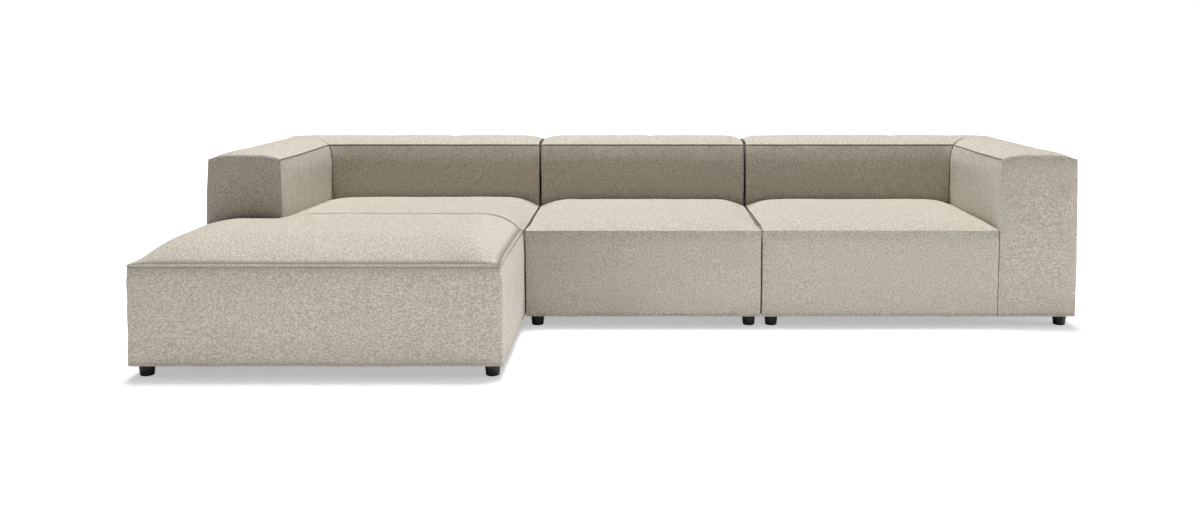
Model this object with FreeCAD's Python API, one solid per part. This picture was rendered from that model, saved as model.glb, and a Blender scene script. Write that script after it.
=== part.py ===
import FreeCAD, Part
import math
import os
from types import SimpleNamespace

Vector = FreeCAD.Vector

# Sectional sofa with chaise, in millimetres. X runs along the sofa, +Y to its rear, +Z up.
# The origin is on the floor, in the middle of the sofa's width and of its full depth.

# Outer sizes of the three modules
chaise_width = 1314.0
middle_width = 974.0
end_width = 1300.0
module_gap = 6.0
sofa_depth = 1050.0
chaise_reach = 700.0
arm_thickness = 320.0
back_thickness = 327.0

# Heights of the sewn edges, where the sides meet the top panels, the crowns above them, and the
# width of the nearly level strip in the middle of each top panel
seat_edge_height = 405.0
back_edge_height = 697.0
seat_crown = 41.0
chaise_crown = 64.0
back_crown = 26.0
seat_crown_flat = 90.0
back_crown_flat = 40.0

# Upholstery: cover, wadding gap and the way that the sides draw in
cover_thickness = 3.0
foam_clearance = 0.5
panel_gap = 3.0
hem_turn = 20.0
corner_radius = 14.0
side_bow = 5.0
seam_draw = 12.0
hidden_draw = 4.0
edge_roll = 85.0
hem_draw_share = 0.35

# Feet and their bolts
foot_height = 44.0
foot_top_diameter = 56.0
foot_bottom_diameter = 48.0
foot_edge_radius = 4.0
foot_rail_gap = 6.0
foot_front_inset = 52.0
foot_recess_diameter = 22.0
foot_recess_depth = 18.0
foot_bolt_diameter = 8.0
foot_bolt_length = 62.0
foot_bolt_head_diameter = 16.0
foot_bolt_head_height = 5.5

# Base frame
dust_cover_thickness = 1.0
dust_cover_inset = 2.0
hole_end_play = 1.0
rail_inset = 16.0
rail_thickness = 22.0
rail_height = 170.0
inner_rail_setback = 13.0
corner_block_leg = 110.0
corner_block_height = 70.0
back_line_setback = 48.0

# Webbing
webbing_thickness = 2.0
webbing_width = 60.0
webbing_pitch = 115.0
webbing_lap = 10.0
back_webbing_pitch = 95.0

# Arm and back frames
arm_panel_thickness = 15.0
rib_thickness = 18.0
rib_spacing = 420.0
top_rail_height = 60.0
top_board_thickness = 5.0
rear_board_thickness = 4.0
top_pad = 40.0

# Frame screws
screw_clearance = 0.2
screw_diameter = 6.0
screw_length = 50.0
screw_head_diameter = 10.0
screw_head_height = 3.0
rail_screw_low = 45.0
rail_screw_high = 125.0
rib_screw_low = 92.0
rib_screw_high = 148.0

# Connectors under the side rails
connector_inset = 150.0
plate_thickness = 3.0
plate_width = 60.0
plate_drop = 9.0
plate_edge_clearance = 1.0
tongue_width = 36.0
tongue_depth = 22.0
slot_clearance = 0.4
slot_lip = 12.0
plate_screw_diameter = 4.0
plate_screw_length = 22.0
plate_screw_head_diameter = 8.0
plate_screw_head_height = 2.4
plate_screw_spacing = 36.0

# Levels and lines that follow from the sizes above
dust_cover_bottom = foot_height
hem_height = dust_cover_bottom + dust_cover_thickness
rail_bottom = hem_height + cover_thickness
cross_rail_top = rail_bottom + rail_height
side_rail_top = cross_rail_top + webbing_thickness
deck_top = side_rail_top + webbing_thickness
frame_top = back_edge_height - top_pad
foot_side_inset = rail_inset + rail_thickness + foot_rail_gap

total_width = chaise_width + middle_width + end_width + 2 * module_gap
total_depth = sofa_depth + chaise_reach
left_end = -total_width / 2
rear = total_depth / 2
chaise_front = -total_depth / 2
sofa_front = rear - sofa_depth
back_front = rear - back_thickness
back_line = back_front + back_line_setback
rib_front = back_line + rail_thickness
rib_rear = rear - rail_inset - rail_thickness


def make_module(name, x0, width, y0, arm_side):
    """Plan lines of one module. arm_side is -1 for a left arm, +1 for a right arm and 0 for none."""
    x1 = x0 + width
    module = SimpleNamespace(name=name, x0=x0, x1=x1, y0=y0, y1=rear, arm_side=arm_side)
    module.seat_x0 = x0 + (arm_thickness + panel_gap if arm_side < 0 else 0)
    module.seat_x1 = x1 - (arm_thickness + panel_gap if arm_side > 0 else 0)
    module.outer = x0 if arm_side < 0 else x1
    module.inward = -arm_side
    module.arm_rail_y0 = sofa_front if y0 < sofa_front else y0 + rail_inset
    return module


chaise = make_module("chaise", left_end, chaise_width, chaise_front, -1)
middle = make_module("middle", chaise.x1 + module_gap, middle_width, sofa_front, 0)
end = make_module("end", middle.x1 + module_gap, end_width, sofa_front, 1)
modules = (chaise, middle, end)


# Simple solids

def box(xa, xb, ya, yb, za, zb):
    """Box between two corners, given in any order."""
    low = Vector(min(xa, xb), min(ya, yb), min(za, zb))
    return Part.makeBox(abs(xb - xa), abs(yb - ya), abs(zb - za), low)


def prism(points, za, zb):
    """Upright prism on a plan polygon."""
    base = [Vector(x, y, za) for x, y in points]
    face = Part.Face(Part.makePolygon(base + base[:1]))
    return face.extrude(Vector(0, 0, zb - za))


def rod(diameter, length, start, direction):
    return Part.makeCylinder(diameter / 2, length, start, direction)


def cut_by(shape, tools):
    """Cut only with the tools whose boxes meet the shape's box."""
    near = [tool for tool in tools if shape.BoundBox.intersect(tool.BoundBox)]
    return shape.cut(near) if near else shape


def save(module, piece, solids):
    """Write the solids of one named piece to its own file."""
    shape = solids[0] if len(solids) == 1 else Part.makeCompound(solids)
    shape.exportStep("parts/" + module.name + "_" + piece + ".step")


# Padded blocks: bowed sides that roll in to a sewn edge, and crowned top panels

def rectangle(x0, x1, y0, y1):
    """Plan corners; the sides then run front, right, rear, left."""
    return [Vector(x0, y0, 0), Vector(x1, y0, 0), Vector(x1, y1, 0), Vector(x0, y1, 0)]


def crossing(line_a, line_b):
    """Where a side meets the next side, square to it."""
    point_a, along_a = line_a
    point_b, along_b = line_b
    return point_a + along_a * (point_b - point_a).dot(along_a)


def outline(corners, insets, bows, radius, z):
    """Closed plan outline: each side is moved in by its inset and bowed out by its bow."""
    sides = []
    for i, corner in enumerate(corners):
        along = (corners[(i + 1) % len(corners)] - corner).normalize()
        inward = Vector(-along.y, along.x, 0)
        sides.append((corner + inward * (insets[i] + bows[i]), along))
    points = [crossing(sides[i - 1], sides[i]) for i in range(len(corners))]
    lift = Vector(0, 0, z)
    edges = []
    for i, point in enumerate(points):
        before = sides[i - 1][1]
        along = sides[i][1]
        centre = point - before * radius + along * radius
        middle_of_arc = centre + (point - centre).normalize() * radius
        start = point - before * radius
        stop = point + along * radius
        arc = Part.Arc(start + lift, middle_of_arc + lift, stop + lift)
        edges.append(arc.toShape())
        next_start = points[(i + 1) % len(points)] - along * radius
        if bows[i] > 0:
            outward = Vector(along.y, -along.x, 0)
            peak = (stop + next_start) * 0.5 + outward * bows[i]
            edges.append(Part.Arc(stop + lift, peak + lift, next_start + lift).toShape())
        else:
            edges.append(Part.makeLine(stop + lift, next_start + lift))
    return Part.Wire(edges)


# Levels of a padded side, each with its share of the draw and of the bow. The first group is
# measured from the hem to the start of the rolled edge, the second from there to the seam.
wall_levels = ((0.0, hem_draw_share, 0.3), (0.3, 0.05, 0.9), (0.6, 0.0, 1.0))
roll_levels = ((0.0, 0.04, 0.8), (0.5, 0.22, 0.5), (0.8, 0.55, 0.2), (1.0, 1.0, 0.0))
crown_steps = 6
crown_fullness = 3
crown_corner_share = 0.3


def padded_sides(corners, draws, bottom, edge_height, offset):
    """Upright sides of a padded block, offset inwards for the lining and the foam."""
    roll_start = edge_height - offset - edge_roll
    stations = [(bottom + level * (roll_start - bottom), draw, bow) for level, draw, bow in wall_levels]
    stations += [(roll_start + level * edge_roll, draw, bow) for level, draw, bow in roll_levels]
    wires = []
    for z, draw_share, bow_share in stations:
        insets = [draw * draw_share + offset for draw in draws]
        bows = [side_bow * bow_share if draw > hidden_draw else 0.0 for draw in draws]
        wires.append(outline(corners, insets, bows, corner_radius, z))
    return Part.makeLoft(wires, True, True)


def crowned_top(corners, draws, edge_height, crown, flat, offset):
    """Top panel that rises from its sewn edges. A side whose draw is None joins a like panel."""
    wires = []
    width = (corners[1] - corners[0]).Length
    depth = (corners[2] - corners[1]).Length
    free_draws = [draw for draw in draws if draw is not None]
    reach = (min(width, depth) - flat) / 2 - max(free_draws) - offset
    for step in range(crown_steps + 1):
        share = step / crown_steps
        rise = crown * (1 - (1 - share) ** crown_fullness)
        insets = [offset if draw is None else draw + offset + reach * share for draw in draws]
        radius = corner_radius * (1 - (1 - crown_corner_share) * share)
        wires.append(outline(corners, insets, [0.0] * len(corners), radius, edge_height - offset + rise))
    return Part.makeLoft(wires, True, True)


def seat_block(module, bottom, offset):
    """Seat of one module. The chaise seat is an L with two top panels and a cross seam."""
    seat_rear = back_front - panel_gap
    flat = seat_crown_flat
    if module.arm_side < 0:
        seam_y = sofa_front - panel_gap
        corners = [
            Vector(module.x0, module.y0, 0),
            Vector(module.x1, module.y0, 0),
            Vector(module.x1, seat_rear, 0),
            Vector(module.seat_x0, seat_rear, 0),
            Vector(module.seat_x0, seam_y, 0),
            Vector(module.x0, seam_y, 0),
        ]
        draws = [seam_draw, seam_draw, hidden_draw, hidden_draw, 0.0, seam_draw]
        front_panel = rectangle(module.x0, module.x1, module.y0, seam_y)
        front_draws = [seam_draw, seam_draw, None, seam_draw]
        rear_panel = rectangle(module.seat_x0, module.x1, seam_y, seat_rear)
        rear_draws = [None, seam_draw, hidden_draw, hidden_draw]
        sides = padded_sides(corners, draws, bottom, seat_edge_height, offset)
        front_top = crowned_top(front_panel, front_draws, seat_edge_height, chaise_crown, flat, offset)
        rear_top = crowned_top(rear_panel, rear_draws, seat_edge_height, chaise_crown, flat, offset)
        return sides.fuse([front_top, rear_top])
    corners = rectangle(module.seat_x0, module.seat_x1, module.y0, seat_rear)
    right_draw = seam_draw if module.arm_side == 0 else hidden_draw
    draws = [seam_draw, right_draw, hidden_draw, seam_draw]
    sides = padded_sides(corners, draws, bottom, seat_edge_height, offset)
    return sides.fuse(crowned_top(corners, draws, seat_edge_height, seat_crown, flat, offset))


def tall_block(corners, bottom, offset):
    """Arm or back before its mitre is cut."""
    draws = [seam_draw] * len(corners)
    sides = padded_sides(corners, draws, bottom, back_edge_height, offset)
    return sides.fuse(crowned_top(corners, draws, back_edge_height, back_crown, back_crown_flat, offset))


def mitre_side(module, towards_arm):
    """Half space on one side of the mitre between arm and back."""
    inner = Vector(module.outer + module.inward * arm_thickness, back_front, 0)
    corner = Vector(module.outer, rear, 0)
    along = (corner - inner).normalize()
    across = Vector(-along.y, along.x, 0)
    if (across.y < 0) != towards_arm:
        across = across * -1
    size = total_width
    start = inner - along * size
    stop = corner + along * size
    points = [start, stop, stop + across * size, start + across * size]
    return prism([(p.x, p.y) for p in points], -size, size)


def arm_block(module, bottom, offset):
    inner = module.outer + module.inward * arm_thickness
    corners = rectangle(min(module.outer, inner), max(module.outer, inner), sofa_front, rear)
    return tall_block(corners, bottom, offset).common(mitre_side(module, True))


def back_block(module, bottom, offset):
    corners = rectangle(module.x0, module.x1, back_front, rear)
    block = tall_block(corners, bottom, offset)
    return block if module.arm_side == 0 else block.common(mitre_side(module, False))


# Base frame

def cross_rail_lines(module):
    """Front faces of the cross rails: front, arm front on the chaise, back line and rear."""
    lines = [module.y0 + rail_inset, back_line, rib_rear]
    if module.y0 < sofa_front:
        lines.insert(1, sofa_front)
    return lines


def side_rails(module):
    ya = module.y0 + rail_inset
    yb = module.y1 - rail_inset
    left = module.x0 + rail_inset
    right = module.x1 - rail_inset
    return [
        box(left, left + rail_thickness, ya, yb, rail_bottom, side_rail_top),
        box(right - rail_thickness, right, ya, yb, rail_bottom, side_rail_top),
    ]


def frame_span(module):
    """Inner faces of the two side rails."""
    setback = rail_inset + rail_thickness
    return module.x0 + setback, module.x1 - setback


def inner_rail_face(module):
    """Face of the inner rail that looks at the seat, on a module with an arm."""
    return module.outer + module.inward * (arm_thickness - inner_rail_setback)


def cross_rails(module):
    xa, xb = frame_span(module)
    rails = []
    for y in cross_rail_lines(module):
        rails.append(box(xa, xb, y, y + rail_thickness, rail_bottom, cross_rail_top))
    if module.arm_side:
        face = inner_rail_face(module)
        far = face - module.inward * rail_thickness
        ya = module.arm_rail_y0 + rail_thickness
        rails.append(box(face, far, ya, back_line, rail_bottom, side_rail_top))
    return rails


def foot_places(module):
    """Plan centres of the feet: four corners, and two more halfway along the chaise."""
    xs = (module.x0 + foot_side_inset, module.x1 - foot_side_inset)
    ys = [module.y0 + foot_front_inset, module.y1 - foot_front_inset]
    if module.y0 < sofa_front:
        ys.insert(1, sofa_front + foot_front_inset)
    return [(x, y) for y in ys for x in xs]


def corner_blocks(module):
    """Three-cornered blocks in the frame's corners, which take the foot bolts."""
    xa, xb = frame_span(module)
    lines = cross_rail_lines(module)
    seats = [(lines[0] + rail_thickness, 1), (lines[-1], -1)]
    if module.y0 < sofa_front:
        seats.insert(1, (lines[1] + rail_thickness, 1))
    blocks = []
    top = rail_bottom + corner_block_height
    leg = corner_block_leg
    for y, toward in seats:
        for x, side in ((xa, 1), (xb, -1)):
            points = [(x, y), (x + side * leg, y), (x, y + toward * leg)]
            if side * toward < 0:
                points.reverse()
            blocks.append(prism(points, rail_bottom, top))
    return blocks


def dust_cover(module):
    inset = rail_inset + dust_cover_inset
    return box(module.x0 + inset, module.x1 - inset, module.y0 + inset, module.y1 - inset,
               dust_cover_bottom, hem_height)


def base_space(module):
    """Space that the base frame and the webbing take up inside the upholstery."""
    return box(module.x0 + rail_inset, module.x1 - rail_inset, module.y0 + rail_inset,
               module.y1 - rail_inset, rail_bottom, deck_top)


def hem_opening(module):
    """Opening under the base, inside the turned-in hem."""
    inset = rail_inset + hem_turn
    return box(module.x0 + inset, module.x1 - inset, module.y0 + inset, module.y1 - inset,
               hem_height, rail_bottom)


# Feet

def foot(x, y):
    top = foot_top_diameter / 2
    bottom = foot_bottom_diameter / 2
    body = Part.makeCone(bottom, top, foot_height, Vector(x, y, 0), Vector(0, 0, 1))
    rim = [edge for edge in body.Edges if edge.BoundBox.ZMax < 1e-6 and edge.Closed]
    body = body.makeFillet(foot_edge_radius, rim[:1])
    recess = rod(foot_recess_diameter, foot_recess_depth, Vector(x, y, 0), Vector(0, 0, 1))
    hole = rod(foot_bolt_diameter + 2 * screw_clearance, foot_height, Vector(x, y, 0), Vector(0, 0, 1))
    return body.cut([recess, hole])


def foot_bolt(x, y):
    up = Vector(0, 0, 1)
    head_bottom = foot_recess_depth - foot_bolt_head_height
    head = rod(foot_bolt_head_diameter, foot_bolt_head_height, Vector(x, y, head_bottom), up)
    shank = rod(foot_bolt_diameter, foot_bolt_length, Vector(x, y, foot_recess_depth), up)
    return head.fuse(shank)


def foot_bolt_hole(x, y):
    length = foot_bolt_length + hole_end_play
    start = Vector(x, y, foot_recess_depth)
    return rod(foot_bolt_diameter + 2 * screw_clearance, length, start, Vector(0, 0, 1))


# Webbing

def band_places(start, stop, pitch):
    """Middles of evenly spaced bands between two lines."""
    count = max(2, int((stop - start) / pitch))
    step = (stop - start) / count
    return [start + (i + 0.5) * step for i in range(count)]


def webbing_field(x0, x1, y0, y1):
    """Two layers of bands across a rectangle whose sides are the rails' inner faces."""
    bands = []
    half = webbing_width / 2
    for x in band_places(x0, x1, webbing_pitch):
        bands.append(box(x - half, x + half, y0 - webbing_lap, y1 + webbing_lap,
                         cross_rail_top, side_rail_top))
    for y in band_places(y0, y1, webbing_pitch):
        bands.append(box(x0 - webbing_lap, x1 + webbing_lap, y - half, y + half,
                         side_rail_top, deck_top))
    return bands


def seat_webbing(module):
    xa, xb = frame_span(module)
    front = module.y0 + rail_inset + rail_thickness
    seat_xa = inner_rail_face(module) if module.arm_side < 0 else xa
    seat_xb = inner_rail_face(module) if module.arm_side > 0 else xb
    if module.y0 < sofa_front:
        bands = webbing_field(xa, xb, front, sofa_front)
        return bands + webbing_field(seat_xa, seat_xb, sofa_front + rail_thickness, back_line)
    return webbing_field(seat_xa, seat_xb, front, back_line)


def back_webbing(module):
    """Level bands across the front edges of the back ribs."""
    xa, xb = frame_span(module)
    bands = []
    half = webbing_width / 2
    for z in band_places(deck_top + webbing_thickness, frame_top - top_rail_height, back_webbing_pitch):
        bands.append(box(xa, xb, rib_front - webbing_thickness, rib_front, z - half, z + half))
    return bands


# Arm and back frames

def arm_panel_faces(module):
    """Outer faces of the outer and the inner arm panel, and the direction into the seat."""
    outer = module.outer + module.inward * (rail_inset + rail_thickness)
    inner = inner_rail_face(module) - module.inward * rail_thickness
    return outer, inner


def arm_frame(module):
    outer, inner = arm_panel_faces(module)
    front = module.arm_rail_y0 + rail_thickness
    wall = arm_panel_thickness
    low = rail_bottom + corner_block_height
    top = frame_top - wall
    into = module.inward * wall
    return [
        box(outer, outer + into, front, back_line, low, top),
        box(inner - into, inner, front, back_line, low, top),
        box(outer + into, inner - into, front, front + wall, cross_rail_top, top),
        box(outer, inner, front, back_line, top, frame_top),
    ]


def rib_places(module):
    """Left faces of the back ribs."""
    xa, xb = frame_span(module)
    count = math.ceil((xb - xa) / rib_spacing) + 1
    step = (xb - xa - rib_thickness) / (count - 1)
    return [xa + i * step for i in range(count)]


def back_frame(module):
    xa, xb = frame_span(module)
    board_bottom = frame_top - top_board_thickness
    rail_low = frame_top - top_rail_height
    pieces = []
    for x in rib_places(module):
        pieces.append(box(x, x + rib_thickness, rib_front, rib_rear,
                          rail_bottom + corner_block_height, board_bottom))
    pieces.append(box(xa, xb, back_line, rib_front, rail_low, board_bottom))
    pieces.append(box(xa, xb, rib_rear, rib_rear + rail_thickness, rail_low, board_bottom))
    pieces.append(box(xa, xb, back_line, rib_rear + rail_thickness, board_bottom, frame_top))
    pieces.append(box(xa, xb, rib_rear, rib_rear + rear_board_thickness, cross_rail_top, rail_low))
    return pieces


def back_space(module):
    """Space that the back frame takes up inside the back's foam."""
    xa, xb = frame_span(module)
    rail_low = frame_top - top_rail_height
    return [
        box(xa, xb, rib_front - webbing_thickness, rib_rear + rear_board_thickness,
            cross_rail_top, frame_top),
        box(xa, xb, back_line, rib_rear + rail_thickness, rail_low, frame_top),
    ]


def arm_space(module):
    """Space that the arm frame takes up inside the arm's foam."""
    outer, inner = arm_panel_faces(module)
    front = module.arm_rail_y0 + rail_thickness
    return box(outer, inner, front, back_line, rail_bottom, frame_top)


# Frame screws

def frame_screw_places(module):
    """Head points and directions of all the screws that hold the wooden frame together."""
    places = []
    rail_levels = (rail_bottom + rail_screw_low, rail_bottom + rail_screw_high)
    rib_levels = (rail_bottom + rib_screw_low, rail_bottom + rib_screw_high)
    mid = rail_thickness / 2
    lines = cross_rail_lines(module)
    left = module.x0 + rail_inset
    right = module.x1 - rail_inset
    for y in lines:
        for z in rail_levels:
            places.append((Vector(left, y + mid, z), Vector(1, 0, 0)))
            places.append((Vector(right, y + mid, z), Vector(-1, 0, 0)))
    for x in rib_places(module):
        for z in rib_levels:
            places.append((Vector(x + rib_thickness / 2, back_line, z), Vector(0, 1, 0)))
            places.append((Vector(x + rib_thickness / 2, rib_rear + rail_thickness, z), Vector(0, -1, 0)))
    if module.arm_side:
        outer, inner = arm_panel_faces(module)
        half = module.inward * arm_panel_thickness / 2
        rail_middle = inner_rail_face(module) - module.inward * mid
        for x in (outer + half, inner - half, rail_middle):
            for z in rib_levels:
                places.append((Vector(x, module.arm_rail_y0, z), Vector(0, 1, 0)))
    return places


def frame_screw(head_point, into):
    head = rod(screw_head_diameter, screw_head_height, head_point, into)
    shank = rod(screw_diameter, screw_length, head_point, into)
    return head.fuse(shank)


def frame_screw_hole(head_point, into):
    gap = 2 * screw_clearance
    head = rod(screw_head_diameter + gap, screw_head_height, head_point, into)
    shank = rod(screw_diameter + gap, screw_length + hole_end_play, head_point, into)
    return head.fuse(shank)


# Connectors: a slotted hook plate on one module, and a tongue on the next that drops into it

def connector_lines():
    return (sofa_front + connector_inset, rear - connector_inset)


def tongue_face(side):
    """Face of the tongue nearest to the gap, for a module whose left side is given."""
    return side + rail_inset + plate_edge_clearance


def hook_plate(side, neighbour_side, y):
    """Plate under the right rail that steps down and reaches under the next module."""
    top = dust_cover_bottom
    low = top - plate_drop
    wall = plate_thickness
    ya = y - plate_width / 2
    yb = y + plate_width / 2
    edge = side - rail_inset - plate_edge_clearance
    tongue = tongue_face(neighbour_side)
    far = tongue + wall + slot_clearance + slot_lip
    fixed_leaf = box(edge - rail_thickness, edge, ya, yb, top - wall, top)
    web = box(edge - wall, edge, ya, yb, low - wall, top)
    low_leaf = box(edge - wall, far, ya, yb, low - wall, low)
    half_slot = tongue_width / 2 + slot_clearance
    slot = box(tongue - slot_clearance, tongue + wall + slot_clearance, y - half_slot, y + half_slot,
               low - wall, low)
    return fixed_leaf.fuse([web, low_leaf]).cut(slot).removeSplitter()


def tongue_plate(side, y):
    """Plate under the left rail whose bent-down tongue stands in the slot of the hook plate."""
    top = dust_cover_bottom
    wall = plate_thickness
    face = tongue_face(side)
    leaf = box(face, face + rail_thickness, y - plate_width / 2, y + plate_width / 2, top - wall, top)
    tongue = box(face, face + wall, y - tongue_width / 2, y + tongue_width / 2,
                 top - wall - tongue_depth, top - wall)
    return leaf.fuse(tongue).removeSplitter()


def plate_screw_places(module):
    """Plan points of the screws in this module's connector plates."""
    places = []
    reach = rail_inset + rail_thickness / 2
    sides = []
    if module is not end:
        sides.append(module.x1 - reach)
    if module is not chaise:
        sides.append(module.x0 + reach)
    for x in sides:
        for y in connector_lines():
            places.append((x, y - plate_screw_spacing / 2))
            places.append((x, y + plate_screw_spacing / 2))
    return places


def plate_screw(x, y):
    up = Vector(0, 0, 1)
    underside = dust_cover_bottom - plate_thickness
    head = rod(plate_screw_head_diameter, plate_screw_head_height,
               Vector(x, y, underside - plate_screw_head_height), up)
    return head.fuse(rod(plate_screw_diameter, plate_screw_length, Vector(x, y, underside), up))


def plate_screw_hole(x, y):
    start = Vector(x, y, dust_cover_bottom - plate_thickness)
    diameter = plate_screw_diameter + 2 * screw_clearance
    return rod(diameter, plate_screw_length + hole_end_play, start, Vector(0, 0, 1))


# Assembly of one module

def upholstery(module, piece, block, spaces, holes):
    """Cover with a turned-in hem, and the foam inside it, cut around the frame."""
    outer = block(module, hem_height, 0.0)
    lining = block(module, rail_bottom, cover_thickness)
    foam = block(module, rail_bottom, cover_thickness + foam_clearance)
    cover = outer.cut([lining, base_space(module), hem_opening(module)])
    save(module, piece + "_cover", [cut_by(cover, holes)])
    save(module, piece + "_foam", [foam.cut([base_space(module)] + spaces)])


def build_module(module):
    foot_holes = [foot_bolt_hole(x, y) for x, y in foot_places(module)]
    plate_holes = [plate_screw_hole(x, y) for x, y in plate_screw_places(module)]
    screws = frame_screw_places(module)
    frame_holes = [frame_screw_hole(point, into) for point, into in screws]
    below = foot_holes + plate_holes

    save(module, "side_rails", [cut_by(rail, frame_holes + plate_holes) for rail in side_rails(module)])
    save(module, "cross_rails", [cut_by(rail, frame_holes) for rail in cross_rails(module)])
    save(module, "corner_blocks", [cut_by(block, foot_holes) for block in corner_blocks(module)])
    save(module, "back_frame", [cut_by(piece, frame_holes) for piece in back_frame(module)])
    save(module, "frame_screws", [frame_screw(point, into) for point, into in screws])
    save(module, "dust_cover", [cut_by(dust_cover(module), below)])
    save(module, "feet", [foot(x, y) for x, y in foot_places(module)])
    save(module, "foot_bolts", [foot_bolt(x, y) for x, y in foot_places(module)])
    save(module, "seat_webbing", seat_webbing(module))
    save(module, "back_webbing", back_webbing(module))

    upholstery(module, "seat", seat_block, [], plate_holes)
    back_spaces = back_space(module)
    if module.arm_side:
        save(module, "arm_frame", [cut_by(panel, frame_holes) for panel in arm_frame(module)])
        back_spaces = back_spaces + [arm_space(module)]
        upholstery(module, "arm", arm_block, back_spaces, plate_holes)
    upholstery(module, "back", back_block, back_spaces, plate_holes)

    if module is not end:
        neighbour = modules[modules.index(module) + 1]
        plates = [hook_plate(module.x1, neighbour.x0, y) for y in connector_lines()]
        save(module, "hook_plates", [cut_by(plate, plate_holes) for plate in plates])
    if module is not chaise:
        plates = [tongue_plate(module.x0, y) for y in connector_lines()]
        save(module, "tongue_plates", [cut_by(plate, plate_holes) for plate in plates])
    save(module, "connector_screws", [plate_screw(x, y) for x, y in plate_screw_places(module)])


os.makedirs("parts", exist_ok=True)
for module in modules:
    build_module(module)
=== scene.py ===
from math import radians
import bpy
import numpy as np
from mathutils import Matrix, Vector, noise


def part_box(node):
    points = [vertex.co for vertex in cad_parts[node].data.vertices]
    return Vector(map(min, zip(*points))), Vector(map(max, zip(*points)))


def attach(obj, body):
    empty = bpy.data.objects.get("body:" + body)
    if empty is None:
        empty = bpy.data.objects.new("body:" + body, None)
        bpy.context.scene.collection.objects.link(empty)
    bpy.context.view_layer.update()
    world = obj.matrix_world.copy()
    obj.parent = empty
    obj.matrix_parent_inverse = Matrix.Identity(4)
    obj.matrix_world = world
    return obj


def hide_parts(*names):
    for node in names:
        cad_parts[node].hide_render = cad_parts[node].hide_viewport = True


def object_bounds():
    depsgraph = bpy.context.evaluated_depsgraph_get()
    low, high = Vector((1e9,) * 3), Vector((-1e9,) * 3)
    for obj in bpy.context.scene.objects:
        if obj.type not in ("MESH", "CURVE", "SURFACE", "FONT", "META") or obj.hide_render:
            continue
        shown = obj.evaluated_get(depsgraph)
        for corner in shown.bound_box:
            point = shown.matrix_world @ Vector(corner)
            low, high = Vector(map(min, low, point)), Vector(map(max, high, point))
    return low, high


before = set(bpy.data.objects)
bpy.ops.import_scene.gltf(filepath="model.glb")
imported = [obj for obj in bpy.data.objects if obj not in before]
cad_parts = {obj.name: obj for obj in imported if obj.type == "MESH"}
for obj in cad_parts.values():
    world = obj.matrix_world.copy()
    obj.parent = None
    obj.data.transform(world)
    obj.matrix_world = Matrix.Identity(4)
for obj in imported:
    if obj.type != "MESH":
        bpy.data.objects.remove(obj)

cad_box = [list(corner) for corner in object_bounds()]
modules = ("chaise", "middle", "end")


# The feet are moulded from black plastic with a fine grain, each a short taper with a rounded
# lower edge. A bolt through the middle of each foot holds it to a corner block in the frame.

class Level:
    """One value or colour in a finish. Arithmetic on it adds Math nodes."""

    def __init__(self, finish, socket):
        self.finish = finish
        self.socket = socket

    def maths(self, operation, first, second):
        return self.finish.node("ShaderNodeMath", {"operation": operation}, {0: first, 1: second})

    def __add__(self, other):
        return self.maths("ADD", self, other)

    def __radd__(self, other):
        return self.maths("ADD", other, self)

    def __mul__(self, other):
        return self.maths("MULTIPLY", self, other)

    def __rmul__(self, other):
        return self.maths("MULTIPLY", other, self)


class Finish:
    """A material made of nodes, with its shader's constant settings given by socket name."""

    def __init__(self, name, constants=None):
        self.material = bpy.data.materials.new(name)
        self.material.use_nodes = True
        self.tree = self.material.node_tree
        self.shader = self.tree.nodes["Principled BSDF"]
        for socket_name, value in (constants or {}).items():
            self.shader.inputs[socket_name].default_value = value
        self.place = self.node("ShaderNodeTexCoord", {}, {}, "Object")

    def node(self, kind, settings, inputs, output=0):
        made = self.tree.nodes.new(kind)
        for key, value in settings.items():
            setattr(made, key, value)
        for key, value in inputs.items():
            self.feed(made.inputs[key], value)
        return Level(self, made.outputs[output])

    def feed(self, socket, value):
        if isinstance(value, Level):
            self.tree.links.new(value.socket, socket)
        else:
            socket.default_value = value

    def noise(self, scale, detail=2.0, roughness=0.5, stretch=(1.0, 1.0, 1.0)):
        """Noise on the object's own coordinates, in features per metre."""
        place = self.node("ShaderNodeMapping", {}, {"Vector": self.place, "Scale": stretch}, "Vector")
        values = {"Vector": place, "Scale": scale, "Detail": detail, "Roughness": roughness}
        return self.node("ShaderNodeTexNoise", {}, values, "Fac")

    def blend(self, share, first, second):
        """Mix of two colours, the second taking the given share."""
        settings = {"data_type": "RGBA", "clamp_factor": True}
        return self.node("ShaderNodeMix", settings, {0: share, 6: first, 7: second}, 2)

    def bump(self, height, strength, distance):
        values = {"Height": height, "Strength": strength, "Distance": distance}
        self.feed(self.shader.inputs["Normal"], self.node("ShaderNodeBump", {}, values, "Normal"))

    def colour(self, value):
        self.feed(self.shader.inputs["Base Color"], value)

    def roughness(self, value):
        self.feed(self.shader.inputs["Roughness"], value)


def linear(red, green, blue):
    """Colour written as 0 to 255 display levels."""
    levels = [level / 255 for level in (red, green, blue)]
    curved = [v / 12.92 if v < 0.04045 else ((v + 0.055) / 1.055) ** 2.4 for v in levels]
    return (*curved, 1.0)


def dress(node_name, finish):
    """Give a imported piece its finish."""
    slots = bpy.data.objects[node_name].data.materials
    slots.clear()
    slots.append(finish.material)


foot_plastic = Finish("moulded black plastic", {"Specular IOR Level": 0.4})
foot_grain = foot_plastic.noise(900.0, detail=3.0)
foot_scuffs = foot_plastic.noise(60.0, detail=4.0, stretch=(1.0, 1.0, 3.0))
foot_plastic.colour(foot_plastic.blend(foot_scuffs, linear(34, 34, 34), linear(50, 50, 49)))
foot_plastic.roughness(0.45 + 0.2 * foot_grain)
foot_plastic.bump(foot_grain, 0.15, 0.0004)
for module in modules:
    dress(module + "_feet", foot_plastic)


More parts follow.
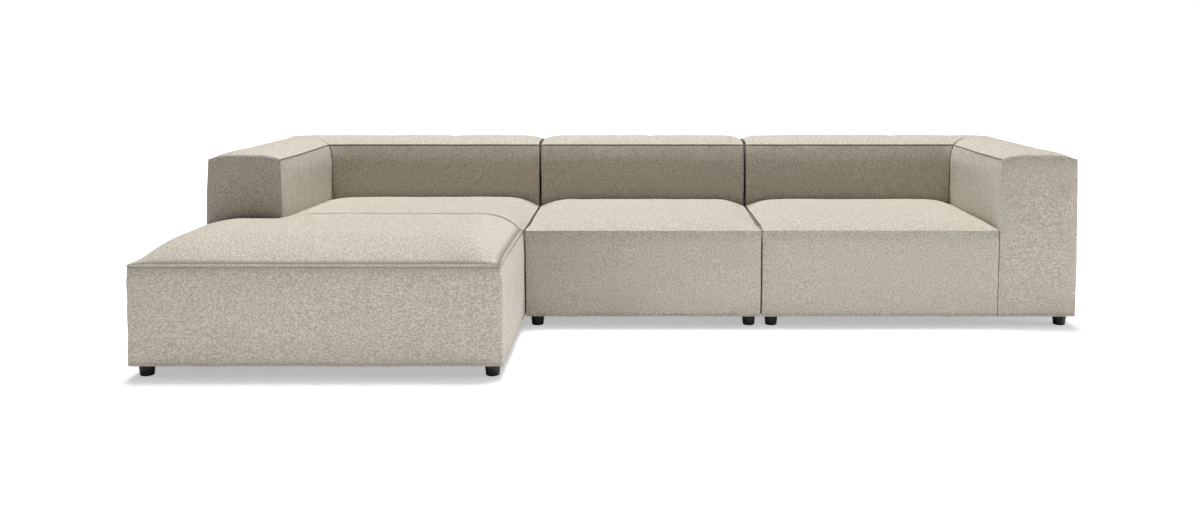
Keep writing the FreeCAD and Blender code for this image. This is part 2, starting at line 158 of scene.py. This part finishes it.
# Foot bolts, frame screws, connector plates and their screws are zinc plated steel. The connector
# plates are stamped from 3 mm strip and stand under the side rails, where the modules hook together.

zinc = Finish("zinc plated steel", {"Metallic": 1.0})
zinc_flakes = zinc.noise(260.0, detail=2.0)
zinc.colour(zinc.blend(zinc_flakes, linear(150, 152, 150), linear(186, 187, 182)))
zinc.roughness(0.3 + 0.25 * zinc_flakes)
zinc.bump(zinc_flakes, 0.08, 0.0003)
for module in modules:
    dress(module + "_foot_bolts", zinc)
    dress(module + "_frame_screws", zinc)
    dress(module + "_connector_screws", zinc)
for plates in ("chaise_hook_plates", "middle_hook_plates", "middle_tongue_plates", "end_tongue_plates"):
    dress(plates, zinc)


# The frame is sawn softwood rails and plywood panels and ribs, screwed together, with glued
# corner blocks. The grain runs along X on the cross rails and along Y on the side rails.

def wood_finish(name, stretch):
    wood = Finish(name)
    grain = wood.noise(90.0, detail=5.0, roughness=0.6, stretch=stretch)
    rings = wood.noise(14.0, detail=2.0, stretch=stretch)
    share = 0.6 * grain + 0.4 * rings
    wood.colour(wood.blend(share, linear(176, 134, 88), linear(222, 190, 146)))
    wood.roughness(0.6 + 0.2 * grain)
    wood.bump(grain, 0.25, 0.0006)
    return wood


wood_along_x = wood_finish("softwood along X", (0.08, 1.0, 1.0))
wood_along_y = wood_finish("softwood along Y", (1.0, 0.08, 1.0))
for module in modules:
    dress(module + "_cross_rails", wood_along_x)
    dress(module + "_corner_blocks", wood_along_x)
    dress(module + "_back_frame", wood_along_x)
    dress(module + "_side_rails", wood_along_y)
for module in ("chaise", "end"):
    dress(module + "_arm_frame", wood_along_y)


# Elastic webbing crosses each seat in two layers and each back in one. It is woven from rubber
# yarn and polyester, and has fine ribs across the bands.

webbing = Finish("elastic webbing")
webbing_ribs = webbing.node(
    "ShaderNodeTexWave",
    {"wave_type": "BANDS", "bands_direction": "DIAGONAL"},
    {"Vector": webbing.place, "Scale": 160.0, "Distortion": 0.4},
    "Fac",
)
webbing.colour(webbing.blend(webbing_ribs, linear(66, 64, 58), linear(120, 116, 104)))
webbing.roughness(0.75 + 0.15 * webbing_ribs)
webbing.bump(webbing_ribs, 0.4, 0.0008)
for module in modules:
    dress(module + "_seat_webbing", webbing)
    dress(module + "_back_webbing", webbing)


# A sheet of black spun cloth closes each base from below. It is stapled over the turned-in hems
# of the covers, and bonded in a grid of small dots.

dust_cloth = Finish("black spun cloth")
dust_fibres = dust_cloth.noise(700.0, detail=4.0)
dust_dots = dust_cloth.node(
    "ShaderNodeTexVoronoi", {"feature": "F1"}, {"Vector": dust_cloth.place, "Scale": 420.0}, "Distance"
)
dust_cloth.colour(dust_cloth.blend(dust_fibres, linear(18, 18, 19), linear(46, 46, 47)))
dust_cloth.roughness(0.8 + 0.15 * dust_fibres)
dust_cloth.bump(dust_dots, 0.3, 0.0005)
for module in modules:
    dress(module + "_dust_cover", dust_cloth)


# Seats. Each is a foam block on the webbing under one fitted cover of mottled chenille, sewn from
# a top panel and a boxing strip. The chaise's cover has two top panels with a cross seam between
# them. The covers are pulled down over the rails and stapled under them.

cloth_grid = 0.021
seam_band = 0.004
hem_line = 0.054
flange_drop = 0.007
edge_roll = 0.085
short_roll = 0.03
seam_draw = 0.019
seat_edge = 0.405
seat_crown = 0.034
chaise_crown = 0.071
front_reach = 0.30
side_reach = 0.20
rear_reach = 0.07
rear_keep = 0.85
arm_keep = 0.3
arm_press = 0.27
rear_fall = 0.4
cross_seam = -0.178
arm_line = -1.477
sofa_front = -0.175
line_step = 0.003
hold_margin = 0.004
lean_depth = 0.14
welt_height = 0.003
stitch_depth = 0.002
seam_crease = 0.8
sewn_welt = 0.8
chaise_welt = 0.9
soft_welt = 0.35
# Weight of the hem line among the stitch lines. It is sunk a little and darkened with painted shade.
hem_groove_and_shade = 0.3
side_play = 0.003
seat_top_rise = 0.007
seat_wall_rise = 0.003
stuffing_waves = ((0.0015, 0.16), (0.0010, 0.06))
cloth_frames = 20
filling_pressure = 4.0

chenille = Finish(
    "mottled beige chenille", {"Sheen Weight": 0.2, "Sheen Roughness": 0.5, "Specular IOR Level": 0.15}
)
chenille_loops = chenille.noise(175.0, detail=2.0, roughness=0.55, stretch=(1.0, 1.0, 1.4))
chenille_fibres = chenille.noise(520.0, detail=3.0, roughness=0.6)
chenille_slubs = chenille.noise(42.0, detail=2.0, stretch=(0.6, 1.0, 1.8))
chenille_cast = chenille.noise(2.5, detail=1.0)
loop_contrast = chenille.node(
    "ShaderNodeMapRange", {}, {"Value": chenille_loops, "From Min": 0.4, "From Max": 0.6}, "Result"
)
mottle = 0.6 * loop_contrast + 0.22 * chenille_fibres + 0.18 * chenille_slubs
# Painted shade: the seam attribute that sew() stores marks the stitch lines and hems. There the cover
# is blended up to 80% towards a dark brown, standing in for the shade in the grooves and under the
# welts.
painted_seam_shade = chenille.node("ShaderNodeAttribute", {"attribute_name": "seam"}, {}, "Fac")
chenille_colour = chenille.blend(mottle, linear(155, 145, 130), linear(229, 223, 211))
chenille_colour = chenille.blend(chenille_cast * 0.3, chenille_colour, linear(186, 178, 165))
# Painted shade along the stitch lines and hems, in dark brown.
chenille.colour(chenille.blend(painted_seam_shade * 0.8, chenille_colour, linear(108, 99, 88)))
chenille.roughness(0.82 + 0.15 * chenille_fibres)
chenille.bump(0.7 * chenille_loops + 0.3 * chenille_fibres, 0.6, 0.003)


def select_edges(piece, chosen):
    """Leave only the chosen edges selected, in edit mode."""
    bpy.ops.object.mode_set(mode="OBJECT")
    mesh = piece.data
    corners = np.zeros(len(mesh.vertices), dtype=bool)
    corners[edge_ends(piece)[chosen].ravel()] = True
    mesh.vertices.foreach_set("select", corners)
    mesh.edges.foreach_set("select", chosen)
    mesh.polygons.foreach_set("select", np.zeros(len(mesh.polygons), dtype=bool))
    bpy.ops.object.mode_set(mode="EDIT")
    bpy.ops.mesh.select_mode(type="EDGE")


def edge_ends(piece):
    ends = np.empty(len(piece.data.edges) * 2, dtype=np.int64)
    piece.data.edges.foreach_get("vertices", ends)
    return ends.reshape(-1, 2)


def points_of(piece):
    places = np.empty(len(piece.data.vertices) * 3)
    piece.data.vertices.foreach_get("co", places)
    return places.reshape(-1, 3)


def set_points(piece, places):
    piece.data.vertices.foreach_set("co", places.ravel())
    piece.data.update()


def normals_of(piece):
    normals = np.empty(len(piece.data.vertices) * 3)
    piece.data.vertices.foreach_get("normal", normals)
    return normals.reshape(-1, 3)


def cut(piece, axis, place):
    """Cut round the whole piece at one plane square to an axis."""
    point = [0.0, 0.0, 0.0]
    normal = [0.0, 0.0, 0.0]
    point[axis] = place
    normal[axis] = 1.0
    bpy.ops.object.mode_set(mode="EDIT")
    bpy.ops.mesh.select_all(action="SELECT")
    bpy.ops.mesh.bisect(plane_co=point, plane_no=normal)
    bpy.ops.object.mode_set(mode="OBJECT")


def divide(piece, axis):
    """Divide the edges that run along one axis to the cloth's grid, each bay on its own."""
    lines = sorted(set(np.round(points_of(piece)[:, axis], 4)))
    for start, stop in zip(lines, lines[1:]):
        cuts = round((stop - start) / cloth_grid) - 1
        if cuts < 1:
            continue
        ends = np.round(points_of(piece)[:, axis], 4)[edge_ends(piece)]
        select_edges(piece, (ends.min(axis=1) == start) & (ends.max(axis=1) == stop))
        bpy.ops.mesh.subdivide(number_cuts=cuts)
        bpy.ops.object.mode_set(mode="OBJECT")


def block(name, low, high, shape=None, lines=((), (), ())):
    """Closed block of cloth-sized squares, with loops where it is sewn."""
    bpy.ops.object.select_all(action="DESELECT")
    low = Vector(low)
    high = Vector(high)
    bpy.ops.mesh.primitive_cube_add(size=1.0, location=(low + high) / 2, scale=high - low)
    piece = bpy.context.object
    piece.name = name
    piece.data.name = name
    bpy.ops.object.transform_apply(location=True, rotation=False, scale=True)
    if shape:
        shape(piece)
    for axis in range(3):
        for place in lines[axis]:
            cut(piece, axis, place)
    for axis in range(3):
        divide(piece, axis)
    return piece


def share(values, start, stop):
    """0 at start, 1 at stop, straight between and level beyond."""
    return np.clip((values - start) / (stop - start), 0.0, 1.0)


def swell(distance, reach):
    """Rise of a stuffed panel at a distance from its sewn edge, 1 on the flat."""
    return 1.0 - (1.0 - share(distance, 0.0, reach)) ** 3


def crown_of(flat, low, high, crown, right_keep):
    """Height of a stuffed top over its seams. It rolls down to the front and to the free sides, and
    keeps most of its height against the back and the given share of it against a right arm.
    """
    x, y = flat[:, 0], flat[:, 1]
    left = swell(x - low[0], side_reach)
    right = right_keep + (1.0 - right_keep) * swell(high[0] - x, side_reach)
    rear = rear_keep + (1.0 - rear_keep) * swell(high[1] - y, rear_reach)
    return crown * left * right * rear * swell(y - low[1], front_reach)


def lean_in(places, flat, axis, wall, inward, draws, top, roll):
    """Draw one wall in towards its top seam. draws are pairs of place and draw along the wall."""
    depth = (flat[:, axis] - wall) * inward
    near = np.where(depth > -1e-5, 1.0 - share(depth, 0.0, lean_depth), 0.0)
    draw = np.interp(flat[:, 1 - axis], [place for place, _ in draws], [draw for _, draw in draws])
    rolled = share(flat[:, 2], top - roll, top) ** 2.0
    places[:, axis] += inward * draw * rolled * near


def fill_out(pieces, held, caps):
    """Inflate the covers between their seams with the Cloth simulation, and keep the result."""
    before = {}
    for piece in pieces:
        before[piece] = points_of(piece)
        group = piece.vertex_groups.new(name="sewn and stapled")
        group.add([int(index) for index in np.flatnonzero(held[piece])], 1.0, "REPLACE")
        cloth = piece.modifiers.new("filling", "CLOTH")
        cloth.settings.quality = 5
        cloth.settings.mass = 0.4
        cloth.settings.tension_stiffness = 12.0
        cloth.settings.compression_stiffness = 12.0
        cloth.settings.shear_stiffness = 6.0
        cloth.settings.bending_stiffness = 0.3
        cloth.settings.shrink_min = -0.006
        cloth.settings.use_pressure = True
        cloth.settings.uniform_pressure_force = filling_pressure
        cloth.settings.vertex_group_mass = group.name
        cloth.settings.effector_weights.gravity = 0.0
        cloth.collision_settings.use_collision = False
        cloth.point_cache.frame_start = 1
        cloth.point_cache.frame_end = cloth_frames
    for number in range(1, cloth_frames + 1):
        bpy.context.scene.frame_set(number)
    for piece in pieces:
        bpy.ops.object.select_all(action="DESELECT")
        bpy.context.view_layer.objects.active = piece
        piece.select_set(True)
        bpy.ops.object.modifier_apply(modifier="filling")
        piece.vertex_groups.clear()
        moved = points_of(piece) - before[piece]
        length = np.maximum(np.linalg.norm(moved, axis=1), 1e-9)
        held_back = caps[piece] * np.tanh(length / caps[piece]) / length
        set_points(piece, before[piece] + moved * held_back[:, None])
    bpy.context.scene.frame_set(1)


def waves(places, size, seed):
    """Smooth unevenness of the stuffing, between -1 and 1 at each point."""
    offset = Vector((seed * 3.1, seed * 1.7, seed * 2.3))
    return np.array([noise.noise(Vector(place) / size + offset) for place in places])


def sew(piece, groove_and_shade, ridge, seed):
    """Subdivide the cover, sink its stitch lines and store them for the chenille's painted shade, raise
    its welts and even out the stuffing.
    """
    # The stitch lines go into the seam attribute, which the chenille paints darker as painted shade.
    # The sink below is real.
    seam_shade_layer = piece.data.attributes.new("seam", "FLOAT", "POINT")
    seam_shade_layer.data.foreach_set("value", groove_and_shade.astype(float))
    sewn = (ridge > 0)[edge_ends(piece)].all(axis=1)
    crease = piece.data.attributes.new("crease_edge", "FLOAT", "EDGE")
    crease.data.foreach_set("value", np.where(sewn, seam_crease, 0.0))
    places = points_of(piece)
    places += normals_of(piece) * (welt_height * ridge - stitch_depth * groove_and_shade)[:, None]
    set_points(piece, places)
    bpy.ops.object.select_all(action="DESELECT")
    bpy.context.view_layer.objects.active = piece
    piece.select_set(True)
    smooth = piece.modifiers.new("smooth", "SUBSURF")
    smooth.levels = 1
    smooth.render_levels = 1
    bpy.ops.object.modifier_apply(modifier=smooth.name)
    places = points_of(piece)
    stuffing = sum(
        height * waves(places, length, seed + step)
        for step, (height, length) in enumerate(stuffing_waves)
    )
    set_points(piece, places + normals_of(piece) * stuffing[:, None])
    bpy.ops.object.shade_smooth()
    piece.data.materials.clear()
    piece.data.materials.append(chenille.material)


def finish_cover(piece, module, part):
    """Hide the parts that the cover stands for, and attach it to the module that it rides on."""
    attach(piece, module + "_module")
    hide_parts(module + "_" + part + "_cover", module + "_" + part + "_foam")


def seam_lines(low, high, top):
    """Planes on which a block needs loops, beside each edge and at the hem and the flange."""
    upright = (low[2] + line_step, hem_line - line_step, hem_line, hem_line + line_step)
    upright += (top - flange_drop - line_step, top - flange_drop, top - seam_band)
    plan = [(low[axis] + seam_band, high[axis] - seam_band) for axis in (0, 1)]
    return plan[0], plan[1], upright


def on(values, place):
    return np.abs(values - place) < 1e-4


def chaise_shape(piece):
    """Run the front of the chaise's seat out past the arm to the module's left side."""
    cut(piece, 1, cross_seam)
    bpy.ops.object.mode_set(mode="EDIT")
    bpy.ops.mesh.select_mode(type="FACE")
    bpy.ops.mesh.select_all(action="DESELECT")
    bpy.ops.object.mode_set(mode="OBJECT")
    for face in piece.data.polygons:
        face.select = face.normal.x < -0.9 and face.center.y < cross_seam
    bpy.ops.object.mode_set(mode="EDIT")
    reach = (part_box("chaise_seat_cover")[0].x - arm_line, 0.0, 0.0)
    bpy.ops.mesh.extrude_region_move(TRANSFORM_OT_translate={"value": reach})
    bpy.ops.object.mode_set(mode="OBJECT")


def seat_cover(module):
    """Seat block with its crowned top, ready to be filled out and sewn."""
    low, high = (list(corner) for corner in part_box(module + "_seat_cover"))
    high[2] = seat_edge
    is_chaise = module == "chaise"
    start = [arm_line if is_chaise else low[0], low[1], low[2]]
    lines = seam_lines(low, high, seat_edge)
    if is_chaise:
        beside_seams = (cross_seam - seam_band, cross_seam + seam_band)
        lines = (lines[0] + (arm_line + seam_band,), lines[1] + beside_seams, lines[2])
    piece = block(module + "_seat", start, high, chaise_shape if is_chaise else None, lines)
    flat = points_of(piece)
    x, y, z = flat.T
    places = flat.copy()
    top = on(z, seat_edge)
    front, left, right, rear = on(y, low[1]), on(x, low[0]), on(x, high[0]), on(y, high[1])
    keep = arm_keep if module == "end" else 0.0
    rise = crown_of(flat, low, high, chaise_crown if is_chaise else seat_crown, keep)
    if is_chaise:
        beside_arm = 1.0 - swell(x - arm_line, side_reach)
        rise *= 1.0 - arm_press * beside_arm * share(y, cross_seam - 0.25, cross_seam)
        rise *= 1.0 - rear_fall * share(y, cross_seam, high[1])
        left_draws = ((low[1], 0.010), (-0.3, 0.010), (-0.2, 0.0))
        right_draws = ((low[1], 0.006), (low[1] + 0.15, 0.012), (-0.24, 0.010), (-0.12, 0.004))
    else:
        left_draws = (
            (low[1], 0.0), (low[1] + 0.14, 0.008), (low[1] + 0.3, 0.007), (high[1], 0.004)
        )
        right_draws = left_draws
    places[:, 2] += np.where(top, rise, 0.0)
    lean_in(places, flat, 1, low[1], 1, ((0.0, side_play),), seat_edge, short_roll)
    left_roll = seat_edge - hem_line if is_chaise else edge_roll
    lean_in(places, flat, 0, low[0], 1, left_draws, seat_edge, left_roll)
    lean_in(places, flat, 0, high[0], -1, right_draws, seat_edge, edge_roll)
    set_points(piece, places)

    edge = top & (front | left | right | rear)
    # Stitch lines to sink, and to darken with painted shade.
    groove_and_shade = ~top & on(z, seat_edge - seam_band) & (left | right)
    beside = top & (on(y, low[1] + seam_band) | on(y, high[1] - seam_band))
    beside |= top & (on(x, low[0] + seam_band) | on(x, high[0] - seam_band))
    held = (z < hem_line + hold_margin) | rear | beside
    held |= ~top & (z > seat_edge - flange_drop - hold_margin)
    shown_to = sofa_front - 0.02 if is_chaise else low[1] - 1.0
    held |= (right | left) & (y > shown_to)
    ridge = edge * np.where(front, soft_welt, sewn_welt)
    if is_chaise:
        cross = top & on(y, cross_seam)
        edge |= cross | top & on(x, arm_line) & (y > cross_seam)
        held |= top & (on(y, cross_seam - seam_band) | on(y, cross_seam + seam_band))
        held |= ~top & (on(y, cross_seam) & (x < arm_line) | on(x, arm_line) & (y > cross_seam))
        groove_and_shade = (front | left | right & (y < sofa_front)) & on(z, seat_edge - flange_drop)
        groove_and_shade |= top & (y < cross_seam) & (on(y, low[1] + seam_band) | on(x, high[0] - seam_band))
        groove_and_shade |= cross | top & (on(y, cross_seam - seam_band) | on(y, cross_seam + seam_band))
        ridge = np.where(edge & ~cross, chaise_welt, 0.0)
        ridge += np.where((front | right) & on(z, seat_edge - seam_band), chaise_welt, 0.0)
    held |= edge
    groove_and_shade = groove_and_shade.astype(float) + hem_groove_and_shade * ((front | left | right) & on(z, hem_line))
    return piece, held, groove_and_shade, ridge, np.where(top, seat_top_rise, seat_wall_rise)


def build_covers(covers, part, seed):
    """Fill out, sew and finish a group of covers made alike."""
    pieces = [made[0] for made in covers.values()]
    held_points = {made[0]: made[1] for made in covers.values()}
    caps = {made[0]: made[4] for made in covers.values()}
    fill_out(pieces, held_points, caps)
    for module, (piece, held, groove_and_shade, ridge, cap) in covers.items():
        seed += 1
        sew(piece, groove_and_shade, ridge, seed)
        finish_cover(piece, module, part)


build_covers({module: seat_cover(module) for module in modules}, "seat", 0)


# Arms. Each is a foam-padded panel box under a cover with a crowned top panel, closed at the
# front by the same cloth turned down without piping, and mitred into the back at the rear corner.

arm_edge = 0.697
arm_crown = 0.026
arm_flat = 0.04
inner_corner_x = 1.48
inner_corner_y = 0.548
front_arch = 0.6
seat_line = 0.43
front_lift = 0.005
front_lift_reach = 0.3
left_arm_lean = 0.022
wall_lean = 0.011
mitre_run = 0.25
upright_welt = 0.3
tall_top_rise = 0.006
tall_wall_rise = 0.004


def tall_cover(name, run, start, stop, outer, inner, mitre_end, mitre_reach, end_level):
    """Arm or back block along one axis, with its crown, its draws and its mitred end.

    outer and inner are the walls across it. mitre_end is the place of the mitred end at the outer
    wall, or None, and mitre_reach is how much further in the mitre's other end lies. end_level is
    the share of the crown that an end that isn't mitred keeps.
    """
    across = 1 - run
    low = list(start)
    high = list(stop)
    piece = block(name, low, high, None, seam_lines(low, high, arm_edge))
    grid = points_of(piece)
    flat = grid.copy()
    share_in = (flat[:, across] - outer) / (inner - outer)
    ends = (low[run], high[run])
    if mitre_end is not None:
        plain_end = ends[0] if on(mitre_end, ends[1]) else ends[1]
        along = (flat[:, run] - plain_end) / (mitre_end - plain_end)
        flat[:, run] += along * share_in * mitre_reach
    places = flat.copy()
    top = on(grid[:, 2], arm_edge)
    reach = (abs(inner - outer) - arm_flat) / 2 - seam_draw
    width = np.minimum(np.abs(grid[:, across] - outer), np.abs(grid[:, across] - inner))
    rise = arm_crown * swell(width, reach)
    for end in ends:
        if mitre_end is None or not on(mitre_end, end):
            rise *= end_level + (1.0 - end_level) * swell(np.abs(grid[:, run] - end), reach)
    places[:, 2] += np.where(top, rise, 0.0)
    return piece, grid, flat, places, top


def walls_of(grid, low, high):
    """Which points stand on each of the four walls: left, right, front and rear."""
    x, y = grid[:, 0], grid[:, 1]
    return on(x, low[0]), on(x, high[0]), on(y, low[1]), on(y, high[1])


def follow_mitre(places, flat, run, slope, distance):
    """Slide the points near a mitre along it, so that both covers meet on the same line."""
    shift = places[:, 1 - run] - flat[:, 1 - run]
    places[:, run] += slope * shift * (1.0 - share(distance, 0.0, mitre_run))


def arm_cover(module, side):
    """Arm block with its crowned top. side is -1 for the left arm and 1 for the right arm."""
    box_low, box_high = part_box(module + "_arm_cover")
    outer = side * max(abs(box_low.x), abs(box_high.x))
    inner = side * inner_corner_x
    rear = cad_box[1][1]
    low = [min(outer, inner), sofa_front, box_low.z]
    high = [max(outer, inner), rear, arm_edge]
    reach = inner_corner_y - rear
    piece, grid, flat, places, top = tall_cover(
        module + "_arm", 1, low, high, outer, inner, rear, reach, front_arch
    )
    left, right, front, back = walls_of(grid, low, high)
    outside, inside = (left, right) if side < 0 else (right, left)
    lift = np.clip(1.0 - np.abs(flat[:, 1] - sofa_front) / front_lift_reach, 0.0, 1.0) * front_lift
    places[:, 2] += lift * share(flat[:, 2], seat_line, arm_edge)
    lean_in(places, flat, 1, low[1], 1, ((0.0, side_play),), arm_edge, short_roll)
    lean = left_arm_lean if side < 0 else wall_lean
    outer_draws = ((0.0, lean), (0.6, lean), (rear, wall_lean))
    lean_in(places, flat, 0, outer, -side, outer_draws, arm_edge, arm_edge - hem_line)
    inner_draws = ((sofa_front, 0.001), (0.25, 0.012), (0.5, seam_draw))
    lean_in(places, flat, 0, inner, side, inner_draws, arm_edge, edge_roll)
    to_mitre = rear + reach * (flat[:, 0] - outer) / (inner - outer) - flat[:, 1]
    follow_mitre(places, flat, 1, reach / (inner - outer), to_mitre)
    set_points(piece, places)

    z = grid[:, 2]
    edge = top & (left | right | back)
    upright = (front & (left | right)) & ~top
    # Stitch lines to sink, and to darken with painted shade.
    groove_and_shade = (outside | inside) & on(z, arm_edge - seam_band) & ~front
    groove_and_shade |= top & on(grid[:, 1], high[1] - seam_band)
    groove_and_shade = groove_and_shade.astype(float) + hem_groove_and_shade * ((left | right | front) & on(z, hem_line))
    beside = top & (on(grid[:, 0], low[0] + seam_band) | on(grid[:, 0], high[0] - seam_band))
    beside |= top & on(grid[:, 1], high[1] - seam_band)
    held = edge | beside | (top & front) | upright | back | (z < hem_line + hold_margin)
    held |= (left | right) & (z > arm_edge - flange_drop - hold_margin)
    held |= inside & (z < seat_line)
    if side < 0:
        held |= front & (z < seat_line)
    ridge = np.where(edge, sewn_welt, 0.0) + np.where(upright, upright_welt, 0.0)
    return piece, held, groove_and_shade, ridge, np.where(top, tall_top_rise, tall_wall_rise)


build_covers({"chaise": arm_cover("chaise", -1), "end": arm_cover("end", 1)}, "arm", 10)


# Backs. Each is a frame of ribs and rails with webbing and foam, under a cover with a crowned top
# panel. The outer two are mitred into the arms, and the seams at the module gaps stand up as welts.

end_level = 0.45
inner_welt = 0.7


def back_cover(module):
    """Back block with its crowned top, mitred where the module has an arm."""
    box_low, box_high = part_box(module + "_back_cover")
    rear = cad_box[1][1]
    low = [box_low.x, inner_corner_y, box_low.z]
    high = [box_high.x, rear, arm_edge]
    mitre = None
    reach = 0.0
    if module == "chaise":
        low[0] = mitre = cad_box[0][0]
        reach = inner_corner_x * -1 - mitre
    if module == "end":
        high[0] = mitre = cad_box[1][0]
        reach = inner_corner_x - mitre
    piece, grid, flat, places, top = tall_cover(
        module + "_back", 0, low, high, rear, inner_corner_y, mitre, reach, end_level
    )
    left, right, front, back = walls_of(grid, low, high)
    lean_in(places, flat, 1, rear, -1, ((0.0, wall_lean),), arm_edge, arm_edge - hem_line)
    lean_in(places, flat, 1, inner_corner_y, 1, ((0.0, seam_draw),), arm_edge, edge_roll)
    for end, inward in ((low[0], 1), (high[0], -1)):
        if mitre is None or not on(mitre, end):
            lean_in(places, flat, 0, end, inward, ((0.0, side_play),), arm_edge, short_roll)
    if mitre is not None:
        slope = reach / (inner_corner_y - rear)
        place = mitre + reach * (flat[:, 1] - rear) / (inner_corner_y - rear)
        follow_mitre(places, flat, 0, slope, np.abs(flat[:, 0] - place))
    set_points(piece, places)

    x, y, z = grid.T
    edge = top & (left | right | front | back)
    upright = (left | right) & (front | back) & ~top
    # Stitch lines to sink, and to darken with painted shade.
    groove_and_shade = (front | back) & on(z, arm_edge - seam_band)
    groove_and_shade |= (left | right) & ~front & ~back & (z > seat_line) | (left | right) & front & ~top
    groove_and_shade = groove_and_shade.astype(float) + hem_groove_and_shade * ((left | right | back) & on(z, hem_line))
    beside = top & (on(y, low[1] + seam_band) | on(y, high[1] - seam_band))
    beside_ends = on(x, low[0] + seam_band) | on(x, high[0] - seam_band)
    beside |= beside_ends & ~left & ~right
    held = edge | upright | beside | left | right | (z < hem_line + hold_margin)
    held |= (front | back) & (z > arm_edge - flange_drop - hold_margin)
    held |= front & (z < seat_line)
    ridge = np.where(edge, sewn_welt, 0.0)
    ridge += np.where(front & ~top & beside_ends, inner_welt, 0.0)
    return piece, held, groove_and_shade, ridge, np.where(top, tall_top_rise, tall_wall_rise)


build_covers({module: back_cover(module) for module in modules}, "back", 20)


# Gap shade strip. A thin strip with the black spun cloth finish stands in the narrow gap between the
# right arm and its seat, in front of the frame. It is painted shade: a dark sheet where the deep gap
# would only be in shade.

gap_shade_low = (inner_corner_x - 0.0025, sofa_front + 0.012, 0.047)
gap_shade_high = (inner_corner_x - 0.0005, 0.5, 0.39)
gap_shade_strip = block("end_gap_shade_strip", gap_shade_low, gap_shade_high)
bpy.ops.object.shade_smooth_by_angle(angle=radians(30.0))
# Black finish standing in for the shade in the gap: painted shade.
gap_shade_strip.data.materials.append(dust_cloth.material)
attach(gap_shade_strip, "end_module")


# Studio. The sofa stands on a plain white floor under a broad soft lamp high up and behind it. A low
# lamp at the right lights the chaise's side, and two cards on the floor throw light up at the
# fronts. The camera stands a little above the backs, looking slightly down.

bpy.ops.object.select_all(action="DESELECT")
bpy.ops.mesh.primitive_plane_add(size=60.0, location=(0.0, 0.0, 0.0))
floor = bpy.context.object
floor.name = "floor"
floor_finish = Finish(
    "white studio floor", {"Roughness": 0.9, "Specular IOR Level": 0.0, "Emission Strength": 1.0}
)
from_middle = floor_finish.node(
    "ShaderNodeVectorMath", {"operation": "LENGTH"}, {0: floor_finish.place}, "Value"
)
far = floor_finish.node(
    "ShaderNodeMapRange", {}, {"Value": from_middle, "From Min": 2.2, "From Max": 4.5}, "Result"
)
floor_finish.colour(linear(248, 248, 248))
light_path = floor_finish.tree.nodes.new("ShaderNodeLightPath")
seen = Level(floor_finish, light_path.outputs["Is Camera Ray"])
glow = floor_finish.blend(far, linear(180, 180, 180), (1.0, 1.0, 1.0, 1.0))
shown_glow = floor_finish.blend(seen, (0.0, 0.0, 0.0, 1.0), glow)
floor_finish.feed(floor_finish.shader.inputs["Emission Color"], shown_glow)
floor.data.materials.append(floor_finish.material)

world = bpy.data.worlds.new("studio surround")
bpy.context.scene.world = world
world.use_nodes = True
surround = world.node_tree.nodes["Background"]
surround.inputs["Color"].default_value = (1.0, 1.0, 1.0, 1.0)
sky_path = world.node_tree.nodes.new("ShaderNodeLightPath")
sky_level = world.node_tree.nodes.new("ShaderNodeMapRange")
sky_level.inputs["To Min"].default_value = 0.13
sky_level.inputs["To Max"].default_value = 1.0
world.node_tree.links.new(sky_path.outputs["Is Camera Ray"], sky_level.inputs["Value"])
world.node_tree.links.new(sky_level.outputs["Result"], surround.inputs["Strength"])

for name, place, aim, size, power, spread in (
    ("overhead_soft_box", (-0.4, 2.0, 11.0), (-0.4, 0.3, 0.0), (6.5, 3.5), 1560.0, 180.0),
    ("side_soft_box", (5.2, -0.45, 0.4), (-0.35, -0.5, 0.2), (0.8, 0.6), 84.0, 180.0),
    ("left_floor_card", (-1.05, -1.88, 0.012), (-1.05, -1.87, 1.0), (1.9, 1.9), 8.2, 180.0),
    ("right_floor_card", (1.1, -1.43, 0.012), (1.1, -1.42, 1.0), (2.2, 2.4), 9.2, 180.0),
):
    lamp = bpy.data.lights.new(name, "AREA")
    lamp.shape = "RECTANGLE"
    lamp.size, lamp.size_y = size
    lamp.energy = power
    lamp.spread = radians(spread)
    soft_box = bpy.data.objects.new(name, lamp)
    bpy.context.scene.collection.objects.link(soft_box)
    soft_box.location = place
    soft_box.rotation_euler = (Vector(aim) - Vector(place)).to_track_quat("-Z", "Y").to_euler()

lens = bpy.data.cameras.new("studio camera")
lens.sensor_width = 36.0
lens.lens = 31.83
lens.shift_x = -0.0316
lens.shift_y = -0.09
camera = bpy.data.objects.new("studio_camera", lens)
bpy.context.scene.collection.objects.link(camera)
camera.location = (-0.0149, -4.5018, 1.1457)
camera.rotation_euler = (radians(90.0 - 5.19), 0.0, 0.0)
bpy.context.scene.camera = camera
bpy.context.scene.view_settings.view_transform = "Standard"
